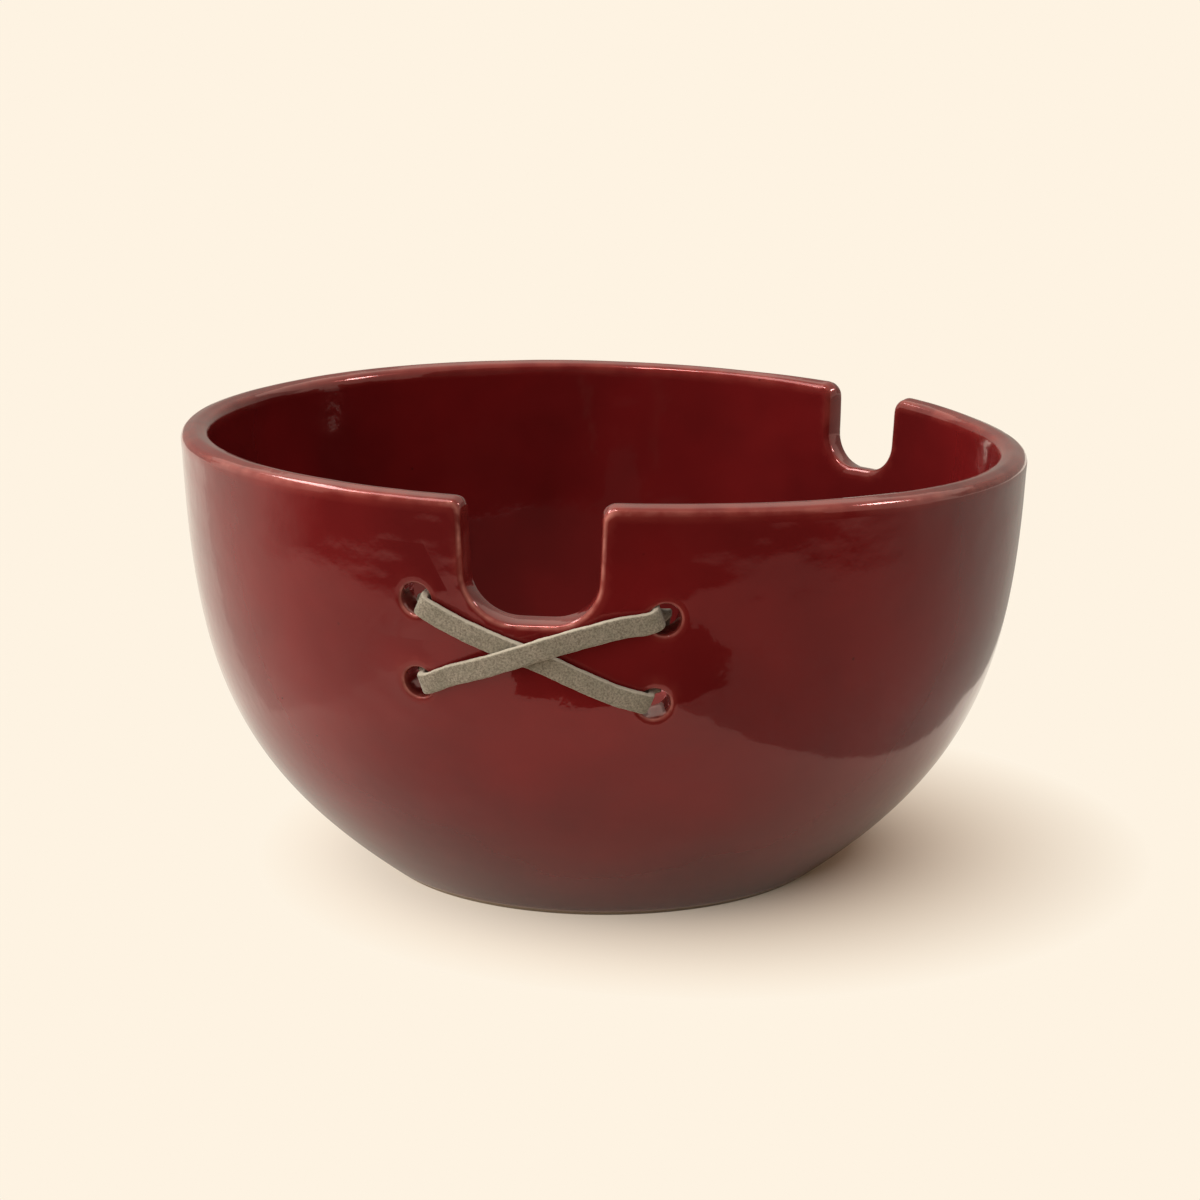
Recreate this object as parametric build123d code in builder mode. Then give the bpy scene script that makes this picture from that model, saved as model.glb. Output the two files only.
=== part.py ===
"""Yarn bowl: a thrown and glazed stoneware bowl with two yarn notches in its rim, laced with flat suede.

Frame: origin at the middle of the foot, on the surface that the bowl stands on. +Z is up, and the large
front notch faces -Y. Places round the bowl are angles from the front, positive towards +X. Millimetres.
"""
import os
from math import radians, sin

from build123d import *

os.makedirs("parts", exist_ok=True)

# ---- driving dimensions ----

# Bowl, thrown in one piece
height = 87.8  # foot to the rim's crest, over the bowl's axis
rim_radius = 84.1  # outside
rim_lean = 1.2  # degrees that the wall still opens at the rim
wall = 5.5  # at the rim
foot_radius = 44.9  # outside
foot_rise = 36.4  # degrees above level at which the wall leaves the foot
lower_pull = 0.462  # how far the foot's direction holds, as a share of the height
upper_pull = 0.536  # how far the rim's direction holds, as a share of the height

# Inside
floor_height = 9.0
floor_radius = 24.0  # the level middle of the floor
floor_pull = 0.642  # how far the level floor's direction holds, as a share of the rim's radius
inner_pull = 0.273  # how far the rim's direction holds inside, as a share of the height

# Foot ring, turned on the underside
foot_width = 6.5
foot_recess = 3.0
foot_slope = 1.5  # how far the recess's side leans in
foot_round = 0.8

# Rim: not quite level, and a little lower at its sides than at its front and back
rim_tilt = 1.67  # degrees
rim_turn = 11.0  # direction of the low side, in degrees from +X towards +Y
rim_dip = 1.5
rim_round = 1.5  # on the rim's edges and the notches' edges

# Notches, cut through the rim: angle, width at the outside, depth below the crest, corner radius
front_notch = (0.0, 25.1, 21.5, 9.0)
back_notch = (143.0, 19.6, 20.1, 7.5)
notch_taper = 8.5  # degrees that a notch closes towards the inside
mouth_round = 2.5  # on the corners between a notch and the rim

# Lace holes, square to the wall: angle and height of each, at the outside
hole_diameter = 6.2
upper_left = (-14.9, 69.7)
lower_left = (-15.4, 54.0)
upper_right = (16.2, 67.4)
lower_right = (15.1, 51.6)
hole_round = 0.5

# Lace, flat suede
lace_width = 3.9
lace_thickness = 1.4
lace_gap = 0.35  # air between the lace and the wall, and between two layers of lace
lace_side = 1.0  # how far the lace lies from a hole's middle, on the side that it pulls to
lace_bend = 1.3  # middle radius where it turns into a hole
lace_ease = 30.0  # middle radius of its gentle bends over the wall

# Knot, tied on the inside between the two left holes
knot_width = 7.5
knot_height = 6.4
knot_depth = 4.4  # how far it stands off the wall
knot_round = 1.2
tail_ends = ((-1, -22.5, 48.5), (1, -10.0, 51.0))  # side of the knot, and the tip's angle and height

# ---- the wall's two curves, as radius and height ----

rim_drop = rim_radius * sin(radians(rim_tilt))  # how far the high side passes the crest
clay_top = height + rim_drop + rim_dip  # before the rim is trimmed
foot_edge = Vector(foot_radius, 0)
rim_edge = Vector(rim_radius, clay_top)
foot_way = Vector(1, 0).rotate(Axis.Z, foot_rise)
rim_way = Vector(0, 1).rotate(Axis.Z, -rim_lean)
outer_points = (
    foot_edge,
    foot_edge + foot_way * height * lower_pull,
    rim_edge - rim_way * height * upper_pull,
    rim_edge,
)
floor_edge = Vector(floor_radius, floor_height)
inner_rim = Vector(rim_radius - wall, clay_top)
inner_points = (
    inner_rim,
    inner_rim - rim_way * height * inner_pull,
    floor_edge + Vector(rim_radius * floor_pull, 0),
    floor_edge,
)
outer_wall = Bezier(*outer_points)
inner_wall = Bezier(*inner_points)


def wall_plane(angle, z):
    """A plane on the outer wall: its normal points out of the clay, and its Y axis runs up the wall."""
    low, high = 0.0, 1.0
    for _ in range(40):
        share = (low + high) / 2
        if (outer_wall @ share).Y < z:
            low = share
        else:
            high = share
    point = outer_wall @ share
    way = outer_wall % share
    outward = Vector(0, -1, 0).rotate(Axis.Z, angle)
    up = outward * way.X + Vector(0, 0, way.Y)
    out = outward * way.Y - Vector(0, 0, way.X)
    return Plane(origin=outward * point.X + Vector(0, 0, point.Y), x_dir=up.cross(out), z_dir=out)


def wall_thickness(place):
    """The wall's thickness, square to the wall, at a plane that wall_plane gave."""
    radius = Vector(place.origin.X, place.origin.Y).length
    return inner_wall.distance_to(Vertex(radius, place.origin.Z, 0))


# ---- bowl ----

with BuildPart() as bowl:
    foot_inside = foot_radius - foot_width
    with BuildSketch(Plane.XZ):
        with BuildLine():
            Bezier(*outer_points)
            Line(rim_edge, inner_rim)
            Bezier(*inner_points)
            Polyline(
                (floor_radius, floor_height),
                (0, floor_height),
                (0, foot_recess),
                (foot_inside - foot_slope, foot_recess),
                (foot_inside, 0),
                (foot_radius, 0),
            )
        make_face()
    revolve(axis=Axis.Z)

    # the rim, trimmed to its slight tilt and dip
    reach = rim_radius * 1.1
    reach_dip = rim_dip * (reach / rim_radius) ** 2
    trim_top = 2 * (clay_top - height) + reach_dip
    low_way = Vector(1, 0, 0).rotate(Axis.Y, rim_tilt).rotate(Axis.Z, rim_turn)
    level_way = Vector(0, -1, 0).rotate(Axis.Z, rim_turn)
    with BuildSketch(Plane(origin=(0, 0, height), x_dir=low_way, z_dir=level_way)):
        with BuildLine():
            ThreePointArc((-reach, -reach_dip), (0, 0), (reach, -reach_dip))
            Polyline((reach, -reach_dip), (reach, trim_top), (-reach, trim_top), (-reach, -reach_dip))
        make_face()
    extrude(amount=reach, both=True, mode=Mode.SUBTRACT)

    # the two yarn notches, their mouths' corners eased, then every edge of the rim and the notches
    for angle, width, depth, corner in (front_notch, back_notch):
        outward = Vector(0, -1, 0).rotate(Axis.Z, angle)
        along = Vector(1, 0, 0).rotate(Axis.Z, angle)
        with BuildSketch(Plane(origin=outward * rim_radius, x_dir=along, z_dir=outward)):
            with Locations((0, height - depth)):
                Rectangle(width, clay_top - height + depth, align=(Align.CENTER, Align.MIN))
            fillet(vertices().group_by(Axis.Y)[0], corner)
        extrude(amount=-3 * wall, taper=notch_taper, mode=Mode.SUBTRACT)
    rim_tops = bowl.faces().filter_by(lambda face: face.center().Z > height - 2 * rim_drop)
    mouth_edges = rim_tops.edges().filter_by(lambda edge: edge.length < 2 * wall)
    fillet(mouth_edges, mouth_round)
    lowest_cut = height - max(front_notch[2], back_notch[2])
    rim_edges = bowl.edges().filter_by(lambda edge: edge.bounding_box().min.Z > lowest_cut - wall)
    fillet(rim_edges, rim_round)

    fillet(bowl.edges().group_by(Axis.Z)[0], foot_round)

    # the lace holes, with their edges softened by the glaze
    for place in (upper_left, lower_left, upper_right, lower_right):
        with BuildSketch(wall_plane(*place)):
            Circle(hole_diameter / 2)
        extrude(amount=2 * wall, both=True, mode=Mode.SUBTRACT)
        mouths = bowl.edges(Select.LAST).filter_by(lambda edge: edge.length > 2.5 * hole_diameter)
        fillet(mouths, hole_round)

bowl.part.label = "bowl"
export_step(bowl.part, "parts/bowl.step")


# ---- lace ----

strip_off = lace_gap + lace_thickness / 2  # from a face of the wall to the middle of the lace


def behind(place, off=0.0):
    """The point that lies off from the inside of the wall, behind a plane that wall_plane gave."""
    return place.origin - place.z_dir * (wall_thickness(place) + off)


def strip(plane, route, radii):
    """One stretch of flat lace along points near the plane, bent across its thickness only."""
    points = [plane.to_local_coords(point) for point in route]
    with BuildSketch(plane) as band:
        with BuildLine():
            FilletPolyline(*[(point.X, point.Y) for point in points], radius=radii)
        trace(line_width=lace_thickness)
    extrude(band.sketch, amount=lace_width / 2, both=True)


def stretch(near, far):
    """The plane of the lace between two holes, the holes' planes, and where the lace lies halfway in."""
    places = [wall_plane(*near), wall_plane(*far)]
    hearts = [(place.origin + behind(place)) / 2 for place in places]
    run = (hearts[1] - hearts[0]).normalized()
    plane = Plane(origin=hearts[0], x_dir=run, z_dir=run.cross(places[0].z_dir + places[1].z_dir))
    return plane, places, [hearts[0] + run * lace_side, hearts[1] - run * lace_side]


def front_strand(near, far, lift):
    """A stretch over the outside of the wall, with its middle lifted over whatever it crosses."""
    plane, places, hearts = stretch(near, far)
    inner_ends = []
    outer_ends = []
    for place, heart in zip(places, hearts):
        half = wall_thickness(place) / 2
        inner_ends.append(heart - place.z_dir * half)
        outer_ends.append(heart + place.z_dir * (half + strip_off))
    crests = []
    for share, rise in ((0.2, lift / 3), (0.4, lift), (0.6, lift), (0.8, lift / 3)):
        place = wall_plane(near[0] + (far[0] - near[0]) * share, near[1] + (far[1] - near[1]) * share)
        crests.append(place.origin + place.z_dir * (strip_off + rise))
    route = [inner_ends[0], outer_ends[0], *crests, outer_ends[1], inner_ends[1]]
    strip(plane, route, [lace_bend] + [lace_ease] * len(crests) + [lace_bend])


def inside_strand(low, high):
    """A stretch up the inside of the wall, between two holes on one side."""
    plane, places, hearts = stretch(low, high)
    turns = []
    for place, heart in zip(places, hearts):
        turns.append(heart - place.z_dir * (wall_thickness(place) / 2 + strip_off))
    strip(plane, [hearts[0], turns[0], turns[1], hearts[1]], [lace_bend, lace_bend])


knot_spot = ((upper_left[0] + lower_left[0]) / 2, (upper_left[1] + lower_left[1]) / 2)
knot_place = wall_plane(*knot_spot)
knot_plane = Plane(
    origin=behind(knot_place, lace_gap + knot_depth / 2),
    x_dir=knot_place.x_dir,
    z_dir=knot_place.z_dir,
)

with BuildPart() as lace:
    front_strand(upper_left, lower_right, 0)
    front_strand(lower_left, upper_right, lace_thickness + lace_gap)
    inside_strand(lower_right, upper_right)
    inside_strand(lower_left, upper_left)
    with Locations(knot_plane):
        Box(2 * knot_width, knot_height, 2 * knot_depth, mode=Mode.SUBTRACT)

lace.part.label = "lace"
export_step(lace.part, "parts/lace.step")

# ---- knot ----

with BuildPart() as lace_knot:
    with Locations(knot_plane):
        Box(knot_width, knot_height, knot_depth)
    fillet(lace_knot.edges().filter_by(Axis(knot_plane.origin, knot_plane.y_dir)), knot_round)
    for side, angle, z in tail_ends:
        root = knot_plane.origin + knot_plane.x_dir * side * (knot_width - knot_round) / 2
        tip = behind(wall_plane(angle, z), strip_off)
        bend_place = wall_plane((knot_spot[0] + angle) / 2, (knot_spot[1] + z) / 2)
        bend = behind(bend_place, strip_off + lace_thickness / 2)
        run = (tip - root).normalized()
        strip(Plane(origin=root, x_dir=run, z_dir=run.cross(knot_plane.z_dir)), [root, bend, tip], [lace_ease])

lace_knot.part.label = "lace_knot"
export_step(lace_knot.part, "parts/lace_knot.step")
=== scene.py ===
"""Looks for the yarn bowl: a thrown, red-glazed stoneware bowl, notched twice at its rim and laced with suede.

Lengths in the sections are written in millimetres and turned into metres as each mesh is made. The foot
stands on the floor at the origin, and angles round the bowl start at the front (-Y) and grow towards +X.
"""
import math

import bpy
import numpy as np
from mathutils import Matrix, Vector, geometry, kdtree


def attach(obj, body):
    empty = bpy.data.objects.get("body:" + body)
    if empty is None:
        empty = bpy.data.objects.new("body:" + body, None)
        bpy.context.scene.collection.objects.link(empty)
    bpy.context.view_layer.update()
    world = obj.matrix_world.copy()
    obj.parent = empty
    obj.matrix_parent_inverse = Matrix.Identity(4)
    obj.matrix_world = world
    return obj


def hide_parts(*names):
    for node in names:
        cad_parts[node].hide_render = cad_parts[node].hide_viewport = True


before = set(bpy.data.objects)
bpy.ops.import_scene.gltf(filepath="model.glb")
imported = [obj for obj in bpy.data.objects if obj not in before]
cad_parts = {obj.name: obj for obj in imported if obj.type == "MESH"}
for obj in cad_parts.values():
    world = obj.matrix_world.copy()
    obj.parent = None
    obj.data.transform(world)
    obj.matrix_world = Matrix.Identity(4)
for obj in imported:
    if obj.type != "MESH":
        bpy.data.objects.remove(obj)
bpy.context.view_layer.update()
MM = 0.001

# ---- Bowl ----
# Thrown on a wheel in one piece of stoneware, with a turned foot ring. While the clay was soft the two yarn
# notches and the four lace holes were cut through the wall and their edges smoothed with a wet finger.
# A dark red glossy glaze was poured over everything but the ring that it stands on.

bowl_height = 87.8  # rim's crest, over the axis
rim_radius = 84.1
rim_lean = math.radians(1.2)
wall = 5.5
foot_radius = 44.9
foot_rise = math.radians(36.4)
lower_pull, upper_pull = 0.462 * bowl_height, 0.536 * bowl_height
floor_height, floor_radius = 9.0, 24.0
floor_pull, inner_pull = 0.642 * rim_radius, 0.273 * bowl_height
foot_width, foot_recess, foot_slope, foot_round = 6.5, 3.0, 1.5, 0.9
rim_tilt, rim_turn, rim_dip = math.radians(1.67), math.radians(11), 1.5
clay_top = bowl_height + rim_radius * math.sin(rim_tilt) + rim_dip

rim_soft, notch_soft, hole_soft = 1.6, 1.0, 0.5  # how far each edge is rounded over
rim_crown, notch_crown = 0.3, 0.08  # how much the cut edges bulge between their two roundings
notch_rise = 0.82  # how much higher a notch's bed is at the inside

# each notch: its angle and depth, then how far round from there its left side is at the mouth and the bed and
# its right side at the bed and the mouth, and the radius of the corner at each of those
front_notch = (0.0, 21.5, (-12.75, -12.45, 11.75, 12.65), (1.8, 9.5, 8.5, 2.6))
back_notch = (143.0, 20.1, (-9.9, -9.7, 9.7, 9.9), (2.6, 7.0, 7.5, 2.6))
hole_radius = 3.0
hole_spots = ((-14.9, 69.7), (-15.4, 54.0), (16.2, 67.4), (15.1, 51.6))

columns = 360  # one at each degree
notch_shoulder = 4  # degrees of level rim on each side of a notch that are drawn along with it
window_floor = 42.0  # height down to which the clay round the notches and holes has a mesh of its own
window_edges = ((-27, 27), (129, 157))
pitch, inner_pitch = 1.4, 1.5  # between rows of the mesh, and between those inside below the window floor


def bezier(a, b, c, d, count):
    """Evenly timed points on a cubic."""
    t = np.linspace(0, 1, count)[:, None]
    a, b, c, d = (np.array(p, float) for p in (a, b, c, d))
    return a * (1 - t) ** 3 + 3 * b * t * (1 - t) ** 2 + 3 * c * t * t * (1 - t) + d * t**3


def rounded_route(corners, radii, step):
    """Points along a bent line whose corners are rounded, and which way its right-hand side faces at each."""
    corners = [np.array(c, float) for c in corners]
    points, sides = [corners[0]], []
    for i in range(1, len(corners)):
        way = corners[i] - corners[i - 1]
        way /= np.linalg.norm(way)
        right = np.array((way[1], -way[0]))
        if not sides:
            sides.append(right)
        end, turn = corners[i], 0.0
        if i < len(corners) - 1:
            after = corners[i + 1] - corners[i]
            after /= np.linalg.norm(after)
            turn = math.atan2(way[0] * after[1] - way[1] * after[0], float(way @ after))
            end = corners[i] - way * radii[i - 1] * math.tan(abs(turn) / 2)
        start = points[-1]
        parts = max(1, round(float(np.linalg.norm(end - start)) / step))
        for k in range(1, parts + 1):
            points.append(start + (end - start) * k / parts)
            sides.append(right)
        if turn:
            radius = radii[i - 1]
            hub = end + right * radius * (-1 if turn > 0 else 1)
            parts = max(3, math.ceil(abs(turn) / math.radians(11)), round(abs(turn) * radius / step))
            for k in range(1, parts + 1):
                a = turn * k / parts
                spin = np.array(((math.cos(a), -math.sin(a)), (math.sin(a), math.cos(a))))
                points.append(hub + spin @ (end - hub))
                sides.append(spin @ right)
    return np.array(points), np.array(sides)


# the wall's two curves as radius and height, from above the rim down and in to the axis
rim_way = np.array((math.sin(rim_lean), math.cos(rim_lean)))
outer_rim, foot_edge = np.array((rim_radius, clay_top)), np.array((foot_radius, 0.0))
foot_way = np.array((math.cos(foot_rise), math.sin(foot_rise)))
outer_wall = bezier(
    outer_rim, outer_rim - rim_way * upper_pull, foot_edge + foot_way * lower_pull, foot_edge, 400
)
foot_inside = foot_radius - foot_width
foot_cut = 6  # points at the end of the wall's curve that the rounded edge of the foot replaces
under, _ = rounded_route(
    [
        outer_wall[-foot_cut],
        (foot_radius, 0),
        (foot_inside, 0),
        (foot_inside - foot_slope, foot_recess),
        (0, foot_recess),
    ],
    [foot_round, foot_round, foot_round],
    1.6,
)
outer_profile = np.vstack((outer_wall[:-foot_cut], under))
inner_rim = outer_rim - (wall, 0)
inner_floor = np.array((floor_radius, floor_height))
inner_wall = bezier(
    inner_rim, inner_rim - rim_way * inner_pull, inner_floor + (floor_pull, 0), inner_floor, 400
)
inner_profile = np.vstack((inner_wall, [(0, floor_height)]))


def lengths(profile):
    """How far along the profile each of its points is."""
    return np.concatenate(([0], np.cumsum(np.linalg.norm(np.diff(profile, axis=0), axis=1))))


outer_length, inner_length = lengths(outer_profile), lengths(inner_profile)
foot_start = outer_length[len(outer_wall) - foot_cut]


def down_at(z, inside=False):
    """How far down the wall from the top a height is, on the outside or the inside."""
    curve, length = (inner_wall, inner_length) if inside else (outer_wall, outer_length)
    return np.interp(-np.asarray(z, float), -curve[:, 1], length[: len(curve)])


def radius_at(down, inside=False):
    profile, length = (inner_profile, inner_length) if inside else (outer_profile, outer_length)
    return np.interp(down, length, profile[:, 0])


def rim_height(turn, radius):
    """The rim isn't level: it tips to one side, and dips a little at both sides."""
    across = radius * np.sin(turn - rim_turn)
    return bowl_height - across * math.tan(rim_tilt) - rim_dip * (across / rim_radius) ** 2


# The outline of the rim, once round, dropping into each notch: turn, height and the way into the clay
turns, heights, ways = [], [], []
column_at = {}  # the place on the outline of each column that the plain clay below it carries on


def add_column(column):
    turn = math.radians(column * 360 / columns)
    column_at[column % columns] = len(turns)
    turns.append(turn)
    heights.append(float(rim_height(turn, rim_radius)))
    ways.append((0.0, -1.0))


def add_notch(notch):
    """Cuts the outline down the notch's left side, along its bed and up its right side."""
    angle, depth, sides, radii = notch
    at = [math.radians(angle) + math.asin(side / rim_radius) for side in sides]
    spread = (at[0] - math.radians(notch_shoulder), at[3] + math.radians(notch_shoulder))
    crest_turns = (spread[0], at[0], at[3], spread[1])
    crest = [(turn * rim_radius, float(rim_height(turn, rim_radius))) for turn in crest_turns]
    bed = [(turn * rim_radius, bowl_height - depth) for turn in at[1:3]]
    points, facing = rounded_route(crest[:2] + bed + crest[2:], radii, 0.9)
    for point, side in zip(points, facing):
        turns.append(point[0] / rim_radius)
        heights.append(point[1])
        ways.append(tuple(side))


column = window_edges[0][0]
for (first, last), notch in zip(window_edges, (front_notch, back_notch)):
    while column < first:
        add_column(column)
        column += 1
    reach = math.degrees(math.asin(notch[2][3] / rim_radius)) + notch_shoulder
    while column < notch[0] - reach - 0.4:
        add_column(column)
        column += 1
    add_notch(notch)
    while column <= notch[0] + reach + 0.4:
        column += 1
    while column <= last:
        add_column(column)
        column += 1
while column < window_edges[0][0] + columns:
    add_column(column)
    column += 1

turns, heights, ways = np.array(turns), np.array(heights), np.array(ways)
at_rim = np.clip((heights - rim_height(turns, rim_radius) + 3.2) / 2.8, 0, 1)
at_rim = at_rim * at_rim * (3 - 2 * at_rim)
soft = notch_soft + (rim_soft - notch_soft) * at_rim
crown = notch_crown + (rim_crown - notch_crown) * at_rim
inner_heights = heights - ways[:, 1] * notch_rise * (1 - at_rim)
inner_heights += (rim_height(turns, rim_radius - wall) - rim_height(turns, rim_radius)) * at_rim

# The sheet of clay, flat: each point says how far round it is, how far down the outside and the inside, and
# how far through the wall from the outside (0) to the inside (1)
sheet_turn, sheet_out, sheet_in, sheet_through, sheet_edge, sheet_bare = [], [], [], [], [], []
sheet_faces = []


def add_points(turn, out, inn, through, edge=0.0, bare=0.0):
    first = sum(len(part) for part in sheet_turn)
    count = len(turn)
    for store, value in zip(
        (sheet_turn, sheet_out, sheet_in, sheet_through, sheet_edge, sheet_bare),
        (turn, out, inn, through, edge, bare),
    ):
        store.append(np.broadcast_to(np.asarray(value, float), (count,)).copy())
    return np.arange(first, first + count)


def stitch(above, below, closed=True, flip=False):
    """Faces between two rows of points that run the same way, the lower with as many points or half as many."""
    count = len(above) if closed else len(above) - 1
    faces = []
    if len(below) == len(above):
        for i in range(count):
            j = (i + 1) % len(above)
            faces.append((above[i], below[i], below[j], above[j]))
    else:
        for i in range(0, len(above), 2):
            j, k = (i + 1) % len(above), (i + 2) % len(above)
            low, next_low = below[i // 2], below[(i // 2 + 1) % len(below)]
            faces += [(above[i], low, above[j]), (above[j], low, next_low), (above[j], next_low, above[k])]
    sheet_faces.extend(tuple(reversed(f)) if flip else f for f in faces)


def edge_loops(turn, height, inner_height, way, soft, crown, steps, closed=True):
    """Rounds an edge over, crosses the cut face and rounds the inner edge: returns its outer and inner rows."""
    out_line, in_line = down_at(height), down_at(inner_height, True)
    share = np.linspace(0, math.pi / 2, steps)
    stations = [(1 - math.sin(a), 1 - math.cos(a), None) for a in share]
    stations += [(0, None, t) for t in (0.25, 0.5, 0.75)]
    stations += [(1 - math.sin(a), math.cos(a) - 1, None) for a in share[::-1]]
    rows = []
    for off, through, crossing in stations:
        if crossing is None:
            depth = soft * off
            t = through * soft / wall + (0 if through >= 0 else 1)
            if through == 0 and rows:
                t = np.ones_like(soft)
            glow = 0.45 + 0.55 * math.sin(math.pi * min(1.0, abs(through)))
        else:
            depth = -crown * (1 - (2 * crossing - 1) ** 2)
            t = soft / wall + (1 - 2 * soft / wall) * crossing
            glow = 0.5
        out, inn = out_line - way[:, 1] * depth, in_line - way[:, 1] * depth
        radius = radius_at(out) * (1 - t) + radius_at(inn, True) * t
        rows.append(add_points(turn + way[:, 0] * depth / radius, out, inn, t, glow))
    for above, below in zip(rows, rows[1:]):
        stitch(above, below, closed, flip=True)
    return rows[0], rows[-1]


rim_out, rim_in = edge_loops(turns, heights, inner_heights, ways, soft, crown, 6)


def flat(ids, inside):
    """Where points of the sheet are, in millimetres round and down one face of the wall."""
    turn, down = np.concatenate(sheet_turn)[ids], np.concatenate(sheet_in if inside else sheet_out)[ids]
    return np.column_stack((turn * (rim_radius - (wall if inside else 0)), down))


def hole_edges(angle, z):
    """The rows at the outer and inner mouth of a lace hole, which goes square through the wall."""
    turn, down = math.radians(angle), float(down_at(z))
    near = np.searchsorted(outer_length, down)
    way = outer_profile[near - 1] - outer_profile[near]
    square = np.array((-way[1], way[0])) / np.linalg.norm(way)
    spot = np.array((radius_at(down), z))
    along = (inner_wall - spot) @ square
    aside = np.abs((inner_wall - spot) @ np.array((-square[1], square[0])))
    inner_down = inner_length[np.argmin(np.where(along > 0, aside, 1e9))]
    a = np.linspace(0, 2 * math.pi, 33)[:-1]
    way = np.column_stack((np.cos(a), -np.sin(a)))
    share = np.linspace(0, math.pi / 2, 4)
    rows = []
    edge = [(hole_soft * (1 - math.sin(s)), hole_soft * (1 - math.cos(s)) / wall, s) for s in share]
    stations = edge + [(0.0, t, 0.0) for t in (0.3, 0.5, 0.7)]
    stations += [(off, 1 - t, s) for off, t, s in edge[::-1]]
    for off, t, s in stations:
        size = hole_radius + off
        out, inn = down - way[:, 1] * size, inner_down - way[:, 1] * size
        radius = radius_at(out) * (1 - t) + radius_at(inn, True) * t
        rows.append(add_points(turn + way[:, 0] * size / radius, out, inn, t, 0.35 + 0.65 * math.sin(s)))
    for above, below in zip(rows, rows[1:]):
        stitch(above, below)
    return rows[0], rows[-1]


hole_rows = [hole_edges(*spot) for spot in hole_spots]


def inside_outline(points, outline):
    """Which points lie inside a closed outline."""
    x, y = points[:, 0][:, None], points[:, 1][:, None]
    x0, y0 = outline[:, 0], outline[:, 1]
    x1, y1 = np.roll(x0, -1), np.roll(y0, -1)
    with np.errstate(divide="ignore", invalid="ignore"):
        crosses = ((y0 > y) != (y1 > y)) & (x < (x1 - x0) * (y - y0) / (y1 - y0) + x0)
    return crosses.sum(1) % 2 == 1


def nearest(points, others):
    """How far each point is from the nearest of some others."""
    return np.concatenate(
        [np.sqrt(((part[:, None] - others[None]) ** 2).sum(-1)).min(1) for part in np.array_split(points, 8)]
    )


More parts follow.
